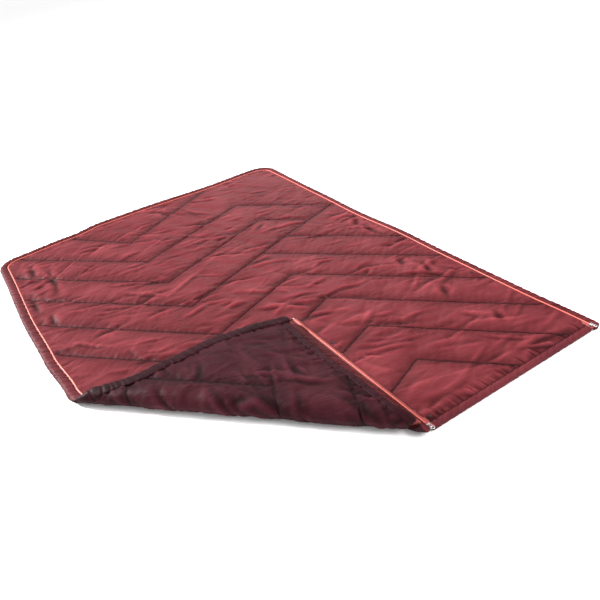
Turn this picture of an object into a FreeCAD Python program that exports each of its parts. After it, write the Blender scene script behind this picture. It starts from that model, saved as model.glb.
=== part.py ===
import FreeCAD, Part
import math
import os
from FreeCAD import Placement, Rotation, Vector

# Camp blanket, opened flat with its front left corner folded over on top.
# +X across the blanket, +Y from the head edge to the foot, +Z up, millimetres.
# The origin is on the ground under the middle of the whole outline.

SIZES = [
    ("open_width", 1530, "across the opened blanket, over both zip guards"),
    ("left_half", 800, "left outer edge to the line of the slit; the other half is drawn in"),
    ("open_length", 2160, "head hem to foot guard"),
    ("loft", 24, "thickness of the quilted panel"),
    ("cloth", 1, "shell or lining cloth with its stitching"),
    ("guard_width", 38, "padded zip guard outside the coil"),
    ("guard_height", 22, "thickness of the zip guard"),
    ("guard_round", 8, "rounding of the guard's outer edges"),
    ("foot_radius", 110, "outer radius of the two foot corners"),
    ("coil_inset", 39.8, "outer edge of the guard to the coil"),
    ("coil_width", 3.2, "width of the coil"),
    ("coil_height", 2.6, "height of the coil"),
    ("coil_level", 20, "height of the coil's centre"),
    ("tape_thick", 0.8, "zip tape"),
    ("panel_inset", 52, "outer edge of the guard to the quilted panel"),
    ("hem_width", 22, "head hem"),
    ("hem_height", 16, "thickness of the head hem"),
    ("elastic_radius", 2.5, "cord inside the head hem"),
    ("slit_length", 700, "short zip from the head edge"),
    ("slit_edge", 41.5, "short zip's guard, from the slit's line to its outer edge"),
    ("slit_left", 42.8, "slit's line to the coil on the left half of the slit"),
    ("bend_radius", 27, "middle of the cloth in the fold"),
    ("fold_turn", 43.3, "direction square to the fold, from +X, in degrees"),
    ("fold_setback", 599, "outer corner to the line where the cloth leaves the ground"),
    ("flap_tilt", 2.4, "slope of the folded corner, in degrees"),
    ("flap_reach", 450, "folded corner, fold to tip"),
    ("flap_side", 519, "folded corner, foot of the tip's normal to the side end"),
    ("flap_head", 461, "folded corner, foot of the tip's normal to the head end"),
    ("flap_gap", 0.5, "folded corner's panel to the fold"),
    ("flap_guard_start", 62, "folded corner, side end to its guard, clear of the fold's band"),
    ("flap_coil_start", 66, "the same to its coil and tape"),
    ("flap_hem_gap", 26, "folded corner, hem to the head end"),
    ("band_half", 46, "half of the angle that the fold's middle band covers, in degrees"),
    ("band_head_gap", 20, "middle band to the head hem, clear of the short zip's guard"),
    ("lower_guard_gap", 2.5, "left side guard to the fold"),
    ("lower_coil_gap", 6, "left coil to the fold"),
    ("slit_coil_gap", 20, "left half of the slit's chain to the fold"),
    ("joiner_half", 5, "half of the moulded joiner's length"),
    ("joiner_rise", 2, "joiner below and above the coil"),
    ("foot_gap", 0.5, "middle of the foot to each half's guard"),
    ("stop_length", 3, "top stop at the end of a coil"),
    ("stop_gap", 0.5, "end of the edge to its top stop"),
    ("stop_wall", 0.6, "top stop's wall round the coil"),
    ("slider_set", 11, "head edge to the middle of a parked slider"),
    ("slider_length", 12, "slider along the coil"),
    ("slider_wall", 1.2, "slider's plates"),
    ("slider_play", 0.4, "slider's plates to the coil"),
    ("slider_back", 1.1, "slider's wall outside the coil"),
    ("slider_back_play", 0.3, "that wall to the coil"),
    ("slider_plate", 10, "slider's plates across the coil"),
    ("crown_height", 28, "top of the slider's crown"),
    ("crown_length", 7, "crown along the coil"),
    ("crown_width", 3, "crown across the coil"),
    ("crown_set", 2.2, "coil's outer edge to the crown"),
    ("pivot_depth", 2.5, "crown's top to the pull's axle"),
    ("axle_play", 0.4, "axle to its hole"),
    ("arm_gap", 1.4, "crown to the middle of a pull's arm"),
    ("ring_spread", 1.5, "ring's radius beyond the arms"),
    ("pull_length", 20, "pull's pivot to the far end of its ring"),
    ("short_pull", 16, "the same on the folded corner's slider"),
    ("wire_radius", 0.9, "wire of the pull"),
    ("stud_radius", 4.5, "press stud"),
    ("stud_height", 2.2, "press stud above the shell"),
    ("head_stud_across", 26, "slit's line to the press stud by the head edge"),
    ("head_stud_set", 32, "head edge to that stud"),
    ("row_studs_along", -590, "the two other press studs, along the blanket"),
    ("near_stud_across", 22, "slit's line to the nearer of them"),
    ("far_stud_across", 660, "slit's line to the further one"),
]
# How far a cutting block or a bore runs past what it cuts, and the reach of the largest ones.
PAST = 10
REACH = 1000
# Edges are told apart with this much tolerance.
NEAR = 0.1

doc = FreeCAD.newDocument("camp_blanket")
sheet = doc.addObject("Spreadsheet::Sheet", "Sizes")
for row, (alias, value, note) in enumerate(SIZES, start=1):
    sheet.set("A%d" % row, note)
    sheet.set("B%d" % row, str(value))
    sheet.setAlias("B%d" % row, alias)
doc.recompute()

NODES = []
UP = Vector(0, 0, 1)


def size(alias):
    return float(sheet.get(alias))


def node(obj, label):
    """Keeps an object as one of the blanket's pieces."""
    obj.Label = label
    NODES.append(obj)
    return obj


def helper(kind, name):
    return doc.addObject(kind, name)


def bind(obj, **expressions):
    for prop, expression in expressions.items():
        obj.setExpression(prop, expression)


def box(name, frame, corner, length, width, height):
    """A box in a frame. corner holds three numbers, the sizes are expressions."""
    block = helper("Part::Box", name)
    bind(block, Length=length, Width=width, Height=height)
    block.Placement = frame.multiply(Placement(Vector(*corner), Rotation()))
    return block


def cut(name, base, tool):
    result = helper("Part::Cut", name)
    result.Base = base
    result.Tool = tool
    return result


def fuse(name, shapes):
    result = helper("Part::MultiFuse", name)
    result.Shapes = shapes
    result.Refine = True
    return result


def rounded(name, base, wanted, radius="Sizes.guard_round"):
    """Rounds the edges of base whose middle passes the test wanted."""
    doc.recompute()
    amount = size(radius.split(".")[1])
    edges = []
    for number, edge in enumerate(base.Shape.Edges, start=1):
        first, last = edge.ParameterRange
        if wanted(edge, edge.valueAt((first + last) / 2)):
            edges.append((number, amount, amount))
    result = helper("Part::Fillet", name)
    result.Base = base
    result.Edges = edges
    return result


# Frames -----------------------------------------------------------------------------------

overhang = size("pull_length") - size("slider_set")
foot_y = (size("open_length") + overhang) / 2
head_y = foot_y - size("open_length")
left_half = size("left_half")
right_half = size("open_width") - left_half
foot_radius = size("foot_radius")
loft = size("loft")
cloth = size("cloth")
panel_inset = size("panel_inset")
guard_width = size("guard_width")
hem_width = size("hem_width")
slit_inner_y = head_y + size("slit_length")
coil_inset = size("coil_inset")
coil_far = coil_inset + size("coil_width")
coil_base = size("coil_level") - size("coil_height") / 2
tape_base = size("coil_level") - size("tape_thick") / 2
stop_length = size("stop_length")
coil_end = stop_length + size("stop_gap")

# The flat cloth is drawn from the slit's line, which lies to the right of the origin.
slit_line_x = (left_half - right_half) / 2
ROW = Placement(Vector(slit_line_x, 0, 0), Rotation())


def edge_frame(start, angle, lift=0.0, outer=ROW):
    """Frame on an outer edge: x along the edge, y into the blanket, z up."""
    turn = Placement(Vector(start[0], start[1], lift), Rotation(UP, angle))
    return outer.multiply(turn)


right_edge = edge_frame((right_half, head_y), 90)
foot_edge = edge_frame((right_half, foot_y), 180)
left_edge = edge_frame((-left_half, foot_y), -90)
head_edge = edge_frame((-left_half, head_y), 0)
slit_right_edge = edge_frame((-size("slit_edge"), slit_inner_y), -90)
slit_left_edge = edge_frame((-size("slit_left") + coil_inset, head_y), 90)

# The fold's frame lies on the ground under the line where the cloth leaves it: x outward
# to the corner, y along the fold towards the head edge.
turn = math.radians(size("fold_turn"))
corner_point = Vector(slit_line_x - left_half, head_y, 0)
fold_normal = Vector(math.cos(turn), math.sin(turn), 0)
fold_origin = corner_point + fold_normal * size("fold_setback")
fold_frame = Placement(fold_origin, Rotation(UP, 180 + size("fold_turn")))

bend = size("bend_radius")
bend_height = loft / 2 + bend
tilt = math.radians(size("flap_tilt"))
flap_start = Vector(-bend * math.sin(tilt), 0, bend_height + bend * math.cos(tilt))
flap_x = Vector(-math.cos(tilt), 0, -math.sin(tilt))
flap_z = Vector(math.sin(tilt), 0, -math.cos(tilt))
flap_turn = Placement(flap_start, Rotation(flap_x, Vector(0, 1, 0), flap_z, "ZXY"))
# The flap's frame has its zero height on the flap's lining, as the flat blanket has.
flap_frame = fold_frame.multiply(flap_turn).multiply(Placement(Vector(0, 0, -loft / 2), Rotation()))


def flap_edge(start, end):
    """Frame on an outer edge of the folded corner, in the row's frame."""
    angle = math.degrees(math.atan2(end[1] - start[1], end[0] - start[0]))
    return edge_frame(start, angle, outer=flap_frame)


flap_tip = (size("flap_reach"), 0)
flap_side_end = (0, -size("flap_side"))
flap_head_end = (0, size("flap_head"))
flap_side_edge = flap_edge(flap_side_end, flap_tip)
flap_head_edge = flap_edge(flap_tip, flap_head_end)
flap_side_length = math.hypot(size("flap_reach"), size("flap_side"))
flap_head_length = math.hypot(size("flap_reach"), size("flap_head"))

# Quilted panel ----------------------------------------------------------------------------

LAYERS = [
    ("lining", 0.0, "Sizes.cloth", size("guard_width")),
    ("insulation", cloth, "Sizes.loft - 2 * Sizes.cloth", panel_inset),
    ("outer_shell", loft - cloth, "Sizes.cloth", panel_inset),
]


def cutter(name, frame, corner, length, width):
    """A tall block that takes away everything inside its outline."""
    lowered = (corner[0], corner[1], -PAST)
    return box(name, frame, lowered, str(length), str(width), "Sizes.loft + %d" % (2 * PAST))


def flat_layer(label, base_z, height, inset):
    """One layer of the main panel: foot corners round, slit and front left corner cut away."""
    width = "Sizes.open_width - 2 * %g" % inset
    length = "Sizes.open_length - %g - Sizes.hem_width" % inset
    corner = (-left_half + inset, head_y + hem_width, base_z)
    plate = box(label + "_plate", ROW, corner, width, length, height)

    def foot_corner(edge, middle):
        upright = abs(edge.tangentAt(edge.FirstParameter).z) > 0.9
        return upright and middle.y > 0

    doc.recompute()
    radius = foot_radius - inset
    edges = []
    for number, edge in enumerate(plate.Shape.Edges, start=1):
        if foot_corner(edge, edge.CenterOfMass):
            edges.append((number, radius, radius))
    round_plate = helper("Part::Fillet", label + "_round")
    round_plate.Base = plate
    round_plate.Edges = edges
    slit_right = -size("slit_edge") + inset
    slit_left = -size("slit_left") - (panel_inset - coil_inset)
    slit = cutter(label + "_slit", ROW, (slit_left, head_y - PAST), slit_right - slit_left,
                  size("slit_length") + PAST)
    fold = cutter(label + "_fold", fold_frame, (0, -REACH), REACH, 2 * REACH)
    opened = cut(label + "_open", round_plate, slit)
    return node(cut(label, opened, fold), label)


def flap_layer(label, base_z, height, inset):
    """One layer of the folded corner, a triangle inside its guard and its head hem."""
    corner = (size("flap_gap"), -size("flap_side"), base_z)
    plate = box(label + "_plate", flap_frame, corner, "Sizes.flap_reach",
                "Sizes.flap_side + Sizes.flap_head", height)
    side = cutter(label + "_side", flap_side_edge, (-REACH / 2, inset - REACH), 2 * REACH, REACH)
    head = cutter(label + "_head", flap_head_edge, (-REACH / 2, hem_width - REACH), 2 * REACH, REACH)
    return node(cut(label, cut(label + "_trim", plate, side), head), label)


for name, base_z, height, inset in LAYERS:
    flat_layer(name, base_z, height, inset)
    flap_layer("corner_" + name.replace("outer_", ""), base_z, height, inset)


# The fold's middle band -------------------------------------------------------------------

band_middle = 90 + size("flap_tilt") / 2
band_start = math.radians(band_middle - size("band_half"))


def bend_sector(label, inner, outer, first, last):
    """Part of the bend between two radii, from first to last along the fold."""
    x_axis = Vector(math.sin(band_start), 0, -math.cos(band_start))
    y_axis = Vector(math.cos(band_start), 0, math.sin(band_start))
    around = Rotation(x_axis, y_axis, Vector(0, -1, 0), "ZXY")
    place = fold_frame.multiply(Placement(Vector(0, last, bend_height), around))
    rings = []
    for suffix, radius in (("_outside", outer), ("_inside", inner)):
        ring = helper("Part::Cylinder", label + suffix)
        bind(ring, Radius="Sizes.bend_radius + (%g)" % radius, Angle="2 * Sizes.band_half")
        ring.Height = last - first
        ring.Placement = place
        rings.append(ring)
    return node(cut(label, rings[0], rings[1]), label)


# Where the side edge and the head edge cross the middle of the bend, along the fold.
bend_back = size("fold_setback") - bend * math.pi / 2
band_side = -bend_back * math.cos(turn) / math.sin(turn)
band_head = bend_back * math.sin(turn) / math.cos(turn) - hem_width - size("band_head_gap")
band_guard = band_side + guard_width
band_coil = band_side + coil_inset
band_tape = band_side + coil_far
band_panel = band_side + panel_inset
half_loft = loft / 2
bend_sector("fold_lining", half_loft - cloth, half_loft, band_panel, band_head)
bend_sector("fold_insulation", cloth - half_loft, half_loft - cloth, band_panel, band_head)
bend_sector("fold_shell", -half_loft, cloth - half_loft, band_panel, band_head)
bend_sector("fold_side_guard", half_loft - size("guard_height"), half_loft, band_side, band_guard)
level = half_loft - size("coil_level")
bend_sector("fold_zip_coil", level - size("coil_height") / 2, level + size("coil_height") / 2,
            band_coil, band_tape)
bend_sector("fold_zip_tape", level - size("tape_thick") / 2, level + size("tape_thick") / 2,
            band_tape, band_panel)

# Zip guards -------------------------------------------------------------------------------


def guard(label, frame, start, stop):
    """A straight padded guard with its two outer edges rounded."""
    block = box(label + "_block", frame, (start, 0, 0), str(stop - start), "Sizes.guard_width",
                "Sizes.guard_height")
    back = frame.inverse()

    def outer_edge(edge, middle):
        local = back.multVec(middle)
        along = edge.Length > 0.9 * (stop - start)
        return along and local.y < NEAR

    return node(rounded(label, block, outer_edge), label)


def foot_corner_sector(name, side, outer_inset, inner_inset, base_z, height):
    """A quarter ring round a foot corner; side is 1 on the right and -1 on the left."""
    edge_x = right_half if side > 0 else -left_half
    centre = ROW.multVec(Vector(edge_x - side * foot_radius, foot_y - foot_radius, base_z))
    spin = Rotation(UP, 0 if side > 0 else 90)
    rings = []
    for suffix, inset in (("_outside", outer_inset), ("_inside", inner_inset)):
        ring = helper("Part::Cylinder", name + suffix)
        bind(ring, Radius="Sizes.foot_radius - %g" % inset, Height=height)
        ring.Angle = 90
        ring.Placement = Placement(centre, spin)
        rings.append(ring)
    return cut(name, rings[0], rings[1])


def corner_guard(label, side):
    block = foot_corner_sector(label + "_block", side, 0, guard_width, 0, "Sizes.guard_height")

    def outer_edge(edge, middle):
        return abs(edge.Length - foot_radius * math.pi / 2) < NEAR

    return node(rounded(label, block, outer_edge), label)


side_straight = size("open_length") - foot_radius
foot_span = size("open_width") - foot_radius
foot_gap = size("foot_gap")
fold_side_y = head_y + size("fold_setback") / math.sin(turn)
left_straight = foot_y - fold_side_y - size("lower_guard_gap")
guard("right_side_guard", right_edge, 0, side_straight)
guard("right_foot_guard", foot_edge, foot_radius, right_half - foot_gap)
guard("left_foot_guard", foot_edge, right_half + foot_gap, foot_span)
guard("left_side_guard", left_edge, foot_radius, left_straight)
guard("slit_guard", slit_right_edge, 0, size("slit_length"))
guard("corner_side_guard", flap_side_edge, size("flap_guard_start"), flap_side_length)
corner_guard("right_corner_guard", 1)
corner_guard("left_corner_guard", -1)

# Zip tapes and coils ----------------------------------------------------------------------

COIL = ("coil", coil_inset, "Sizes.coil_width", coil_base, "Sizes.coil_height", coil_far)
TAPE = ("tape", coil_far, "Sizes.panel_inset - Sizes.coil_inset - Sizes.coil_width", tape_base,
        "Sizes.tape_thick", panel_inset)


def zip_run(name, strip, frame, start, stop):
    """A straight stretch of coil or tape in an edge's frame."""
    inset, width, base_z, height = strip[1:5]
    return box(name, frame, (start, inset, base_z), str(stop - start), width, height)


def main_chain(side_name, side, side_frame, side_span, foot_span):
    """Coil and tape of one half chain: the side, the foot corner and half of the foot."""
    for strip in (COIL, TAPE):
        label = "%s_zip_%s" % (side_name, strip[0])
        runs = [
            zip_run(label + "_side", strip, side_frame, *side_span),
            foot_corner_sector(label + "_turn", side, strip[1], strip[5], strip[3], strip[4]),
            zip_run(label + "_foot", strip, foot_edge, *foot_span),
        ]
        node(fuse(label, runs), label)


def short_chain(prefix, suffix, frame, start, stop):
    for strip in (COIL, TAPE):
        label = "%s_%s%s" % (prefix, strip[0], suffix)
        node(zip_run(label, strip, frame, start, stop), label)


joiner_half = size("joiner_half")
fold_zip_y = head_y + (size("fold_setback") - coil_far * math.cos(turn)) / math.sin(turn)
main_chain("right", 1, right_edge, (coil_end, side_straight), (foot_radius, right_half - joiner_half))
main_chain("left", -1, left_edge, (foot_radius, foot_y - fold_zip_y - size("lower_coil_gap")),
           (right_half + joiner_half, foot_span))
slit_run = size("slit_length")
short_chain("slit", "_right", slit_right_edge, stop_length, slit_run - coil_end)
left_slit_start = 2 * cloth + size("fold_setback") / math.sin(turn) - (
    left_half - size("slit_left")) * math.cos(turn) / math.sin(turn)
short_chain("slit", "_left", slit_left_edge, left_slit_start + size("slit_coil_gap"), slit_run - stop_length)
short_chain("corner_zip", "", flap_side_edge, size("flap_coil_start"), flap_side_length - coil_end)

# Stops and the moulded joiner -------------------------------------------------------------


def stop(label, frame, start):
    """A clip over the end of a coil, as wide and high as the coil with its own wall."""
    corner = (start, coil_inset - size("stop_wall"), coil_base - size("stop_wall"))
    return node(box(label, frame, corner, "Sizes.stop_length", "Sizes.coil_width + Sizes.stop_wall",
                    "Sizes.coil_height + 2 * Sizes.stop_wall"), label)


stop("right_top_stop", right_edge, coil_end - stop_length)
stop("slit_top_stop", slit_right_edge, slit_run - coil_end)
stop("corner_top_stop", flap_side_edge, flap_side_length - coil_end)
stop("slit_end_stop", slit_right_edge, 0)

joiner_base = coil_base - size("joiner_rise")
joiner = box("foot_joiner_block", foot_edge, (right_half - joiner_half, guard_width, joiner_base),
             "2 * Sizes.joiner_half", "Sizes.panel_inset - Sizes.guard_width",
             "Sizes.coil_height + 2 * Sizes.joiner_rise")


def joiner_top(edge, middle):
    return middle.z > size("coil_level") + size("joiner_rise")


node(rounded("foot_joiner", joiner, joiner_top, "Sizes.slider_wall"), "foot_joiner")

# Head hems with their elastic -------------------------------------------------------------


def hem(label, elastic_label, frame, start, stop):
    """A flat tube of cloth round an elastic cord."""
    block = box(label + "_block", frame, (start, 0, 0), str(stop - start), "Sizes.hem_width",
                "Sizes.hem_height")
    back = frame.inverse()

    def outer_edge(edge, middle):
        along = edge.Length > 0.9 * (stop - start)
        return along and back.multVec(middle).y < NEAR

    soft = rounded(label + "_soft", block, outer_edge, "Sizes.wire_radius")
    centre = Vector(start, hem_width / 2, size("hem_height") / 2)
    place = frame.multiply(Placement(centre, Rotation(Vector(0, 1, 0), 90)))
    cords = []
    for name in (label + "_bore", elastic_label):
        cord = helper("Part::Cylinder", name)
        bind(cord, Radius="Sizes.elastic_radius")
        cord.Height = stop - start
        cord.Placement = place
        cords.append(cord)
    node(cut(label, soft, cords[0]), label)
    node(cords[1], elastic_label)


hem("right_head_hem", "right_elastic", head_edge, left_half - size("slit_edge") + panel_inset,
    size("open_width") - panel_inset)
hem("corner_head_hem", "corner_elastic", flap_head_edge, panel_inset,
    flap_head_length - size("flap_hem_gap"))

# Sliders and pulls ------------------------------------------------------------------------

wall = size("slider_wall")
play = size("slider_play")
plate_inner = coil_inset - size("slider_back_play") - size("slider_back")
under = coil_base - play
over = coil_base + size("coil_height") + play
crown_top = size("crown_height")
pivot_z = crown_top - size("pivot_depth")
crown_y = coil_inset + size("crown_set")
crown_width = size("crown_width")
crown_half = size("crown_length") / 2


def slider(label, frame, middle):
    """A slider that wraps the coil and is open to the tape, with a crown for its pull."""
    start = middle - size("slider_length") / 2
    length = "Sizes.slider_length"
    lower = box(label + "_lower", frame, (start, plate_inner, under - wall), length,
                "Sizes.slider_plate", "Sizes.slider_wall")
    upper = box(label + "_upper", frame, (start, plate_inner, over), length,
                "Sizes.slider_plate", "Sizes.slider_wall")
    outer = box(label + "_wall", frame, (start, plate_inner, under - wall), length,
                "Sizes.slider_back", str(over - under + 2 * wall))
    crown = box(label + "_crown", frame, (middle - crown_half, crown_y, over + wall / 2),
                "Sizes.crown_length", "Sizes.crown_width", str(crown_top - over - wall / 2))
    hole = helper("Part::Cylinder", label + "_hole")
    bind(hole, Radius="Sizes.wire_radius + Sizes.axle_play")
    hole.Height = crown_width + 2 * PAST
    place = Placement(Vector(middle, crown_y - PAST, pivot_z), Rotation(Vector(1, 0, 0), -90))
    hole.Placement = frame.multiply(place)
    body = fuse(label + "_body", [lower, upper, outer, crown])
    node(cut(label, body, hole), label)


def rod(name, frame, start, direction, length):
    """A round wire from start, along a direction of the frame."""
    piece = helper("Part::Cylinder", name)
    bind(piece, Radius="Sizes.wire_radius")
    piece.Height = length
    aim = Rotation(UP, Vector(*direction))
    piece.Placement = frame.multiply(Placement(Vector(*start), aim))
    return piece


def pull(label, frame, middle, heading, length):
    """A wire pull: axle through the crown, two arms and a ring; heading 1 or -1 along x."""
    wire = size("wire_radius")
    arm_y = (crown_y - size("arm_gap"), crown_y + crown_width + size("arm_gap"))
    ring_radius = (arm_y[1] - arm_y[0]) / 2 + size("ring_spread")
    ring_x = size(length) - ring_radius - wire
    ring_y = (arm_y[0] + arm_y[1]) / 2
    arm_reach = ring_x - math.sqrt(ring_radius ** 2 - (ring_y - arm_y[0]) ** 2)
    pieces = [rod(label + "_axle", frame, (middle, arm_y[0], pivot_z), (0, 1, 0), arm_y[1] - arm_y[0])]
    for number, across in enumerate(arm_y):
        pieces.append(rod("%s_arm%d" % (label, number), frame, (middle, across, pivot_z),
                          (heading, 0, 0), arm_reach))
        knuckle = helper("Part::Sphere", "%s_knuckle%d" % (label, number))
        bind(knuckle, Radius="Sizes.wire_radius")
        knuckle.Placement = frame.multiply(Placement(Vector(middle, across, pivot_z), Rotation()))
        pieces.append(knuckle)
    ring = helper("Part::Torus", label + "_ring")
    ring.Radius1 = ring_radius
    bind(ring, Radius2="Sizes.wire_radius")
    centre = Vector(middle + heading * ring_x, ring_y, pivot_z)
    ring.Placement = frame.multiply(Placement(centre, Rotation()))
    pieces.append(ring)
    node(fuse(label, pieces), label)
    return frame.multVec(Vector(middle, ring_y, pivot_z))


SLIDERS = [
    ("right", right_edge, size("slider_set"), -1, "pull_length"),
    ("slit", slit_right_edge, slit_run - size("slider_set"), 1, "pull_length"),
    ("corner", flap_side_edge, flap_side_length - size("slider_set"), 1, "short_pull"),
]
pivots = {}
for name, frame, middle, heading, length in SLIDERS:
    slider(name + "_slider", frame, middle)
    pivots[name] = pull(name + "_pull", frame, middle, heading, length)

# Press studs ------------------------------------------------------------------------------

STUD_PLACES = [
    (size("head_stud_across"), head_y + size("head_stud_set")),
    (size("near_stud_across"), size("row_studs_along")),
    (size("far_stud_across"), size("row_studs_along")),
]
studs = []
for number, (across, along) in enumerate(STUD_PLACES):
    stud = helper("Part::Cylinder", "stud%d" % number)
    bind(stud, Radius="Sizes.stud_radius", Height="Sizes.stud_height")
    stud.Placement.Base = ROW.multVec(Vector(across, along, loft))
    studs.append(stud)
press_studs = helper("Part::Compound", "press_studs")
press_studs.Links = studs
node(press_studs, "press_studs")

# Hinges of the fold -----------------------------------------------------------------------
# The fold rolls open in two equal steps. Each step turns about a line near the cloth, found
# so that the middle band and the corner come down flat beside the panel.

step = math.radians(90 + size("flap_tilt") / 2)
middle_x = bend * math.sin(step)
middle_z = bend - bend * math.cos(step)
flat_x = bend * step


def turning_point(before, after, angle):
    """Centre of the clockwise turn that takes one point to the other."""
    shift_x = after[0] - before[0]
    shift_z = after[1] - before[1]
    reach = 1 / math.tan(angle / 2)
    centre_x = (before[0] + after[0]) / 2 + shift_z * reach / 2
    centre_z = (before[1] + after[1]) / 2 - shift_x * reach / 2
    return centre_x, centre_z


lower_x, lower_z = turning_point((middle_x, middle_z), (flat_x, 0), step)
bisector = (math.sin(step), -math.cos(step))
off_x, off_z = lower_x, lower_z - bend
along_bisector = off_x * bisector[0] + off_z * bisector[1]
upper_x = 2 * along_bisector * bisector[0] - off_x
upper_z = 2 * along_bisector * bisector[1] - off_z + bend
hinges = {}
for name, (across, up) in {"fold_lower": (lower_x, lower_z), "fold_upper": (upper_x, upper_z)}.items():
    hinges[name] = fold_frame.multVec(Vector(across, 0, up + loft / 2))

# Checks and export ------------------------------------------------------------------------

doc.recompute()
broken = [obj.Label for obj in doc.Objects if set(obj.State) & {"Invalid", "Error"}]
for obj in NODES:
    if obj.Shape.isNull() or not obj.Shape.isValid() or obj.Shape.Volume <= 0:
        broken.append(obj.Label)
if broken:
    raise RuntimeError("not built: " + ", ".join(broken))
os.makedirs("parts", exist_ok=True)
for obj in NODES:
    obj.Shape.exportStep("parts/%s.step" % obj.Label)

whole = Part.makeCompound([obj.Shape for obj in NODES]).BoundBox
print("pieces", len(NODES), "from", whole.XMin, whole.YMin, whole.ZMin, "to", whole.XMax, whole.YMax, whole.ZMax)
for name, point in list(pivots.items()) + list(hinges.items()):
    print(name, "turns at", round(point.x, 3), round(point.y, 3), round(point.z, 3))
for name, frame in (("fold", fold_frame), ("flap", flap_frame), ("flap side", flap_side_edge)):
    for axis, vector in (("x", Vector(1, 0, 0)), ("y", Vector(0, 1, 0))):
        direction = frame.Rotation.multVec(vector)
        print(name, axis, round(direction.x, 5), round(direction.y, 5), round(direction.z, 5))
    print(name, "origin", frame.Base)
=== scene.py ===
import math

import bpy
import numpy as np
from mathutils import Euler, Matrix, Vector
from mathutils.geometry import delaunay_2d_cdt


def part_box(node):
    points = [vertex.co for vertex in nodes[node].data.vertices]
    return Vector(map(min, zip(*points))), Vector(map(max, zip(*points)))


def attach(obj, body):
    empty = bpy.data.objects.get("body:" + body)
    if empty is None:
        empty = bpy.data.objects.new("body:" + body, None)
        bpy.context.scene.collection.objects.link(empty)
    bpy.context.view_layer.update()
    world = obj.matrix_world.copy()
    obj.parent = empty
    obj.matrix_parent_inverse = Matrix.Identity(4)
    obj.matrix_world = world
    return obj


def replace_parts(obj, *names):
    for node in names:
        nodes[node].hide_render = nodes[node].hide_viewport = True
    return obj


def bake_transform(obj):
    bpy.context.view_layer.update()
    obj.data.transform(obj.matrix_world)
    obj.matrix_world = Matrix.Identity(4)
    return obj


# Camp blanket, opened flat with its front left corner folded over on top. Every soft piece is
# drawn on the flat cloth, as x from the short zip's line, y from head to foot and a height, and
# place() lays it down in the row's frame, folded corner and all.

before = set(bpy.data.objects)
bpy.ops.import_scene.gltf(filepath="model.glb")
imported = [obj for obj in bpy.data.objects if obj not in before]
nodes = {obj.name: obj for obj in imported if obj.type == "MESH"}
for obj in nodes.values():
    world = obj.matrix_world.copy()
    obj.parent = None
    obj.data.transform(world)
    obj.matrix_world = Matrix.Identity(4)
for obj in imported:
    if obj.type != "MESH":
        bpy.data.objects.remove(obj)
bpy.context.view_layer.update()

# Sizes, in metres ---------------------------------------------------------------------------

SLIT_LINE_X = (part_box("slit_coil_right")[0].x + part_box("slit_coil_right")[1].x) / 2
LEFT_HALF = SLIT_LINE_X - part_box("left_side_guard")[0].x
RIGHT_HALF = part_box("right_side_guard")[1].x - SLIT_LINE_X
FOOT_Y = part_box("right_foot_guard")[1].y
HEAD_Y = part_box("slit_guard")[0].y
SLIT_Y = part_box("slit_guard")[1].y
SLIT_EDGE_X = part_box("slit_guard")[0].x - SLIT_LINE_X
RIGHT_PANEL_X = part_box("slit_tape_right")[1].x - SLIT_LINE_X
LEFT_PANEL_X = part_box("slit_tape_left")[0].x - SLIT_LINE_X
LEFT_COIL_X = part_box("slit_coil_left")[1].x - SLIT_LINE_X
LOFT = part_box("outer_shell")[1].z
HALF_LOFT = LOFT / 2
GUARD_WIDTH = 0.038
GUARD_HEIGHT = 0.026
# Distances inwards from the outer edge of a zip guard, and the height of its coil.
COIL_MIDDLE = 0.0414
SLIT_COIL_OFFSET = 0.0016
COIL_LEVEL = 0.020
PANEL_INSET = 0.052
SHELL_INSET = 0.0462
ZIP_STEP = 0.006
HEM_WIDTH = 0.022
HEM_HEIGHT = 0.016
FOOT_RADIUS = {1: 0.110, -1: 0.100}
BEND = 0.027
FOLD_ANGLE = math.radians(43.3)
SETBACK = 0.599
FLAP_TILT = math.radians(2.4)
FULL_TURN = math.pi + FLAP_TILT
FLAP_REACH = 0.450
# Beside the zip the fold is pressed down to this share of its height. The change starts at a
# place along the fold line, takes a run of it, and takes an edge of cloth past it.
FLAT_SIDE = 0.75
FLAT_SIDE_START = -0.20
FLAT_SIDE_RUN = 0.33
FLAT_SIDE_EDGE = 0.04

CORNER = np.array((-LEFT_HALF, HEAD_Y))
FOLD_NORMAL = np.array((math.cos(FOLD_ANGLE), math.sin(FOLD_ANGLE)))
FOLD_LINE = np.array((math.sin(FOLD_ANGLE), -math.cos(FOLD_ANGLE)))
FLAP_START = SETBACK - BEND * FULL_TURN
FLAP_SHRINK = FLAP_REACH / FLAP_START
MID_BEND = SETBACK - BEND * FULL_TURN / 2

noise = np.random.default_rng(7)


def ease(t):
    t = np.clip(t, 0, 1)
    return t * t * (3 - 2 * t)


def across_fold(flat):
    """Distance from the blanket's folded corner, square to the fold."""
    return (np.asarray(flat)[..., :2] - CORNER) @ FOLD_NORMAL


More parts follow.
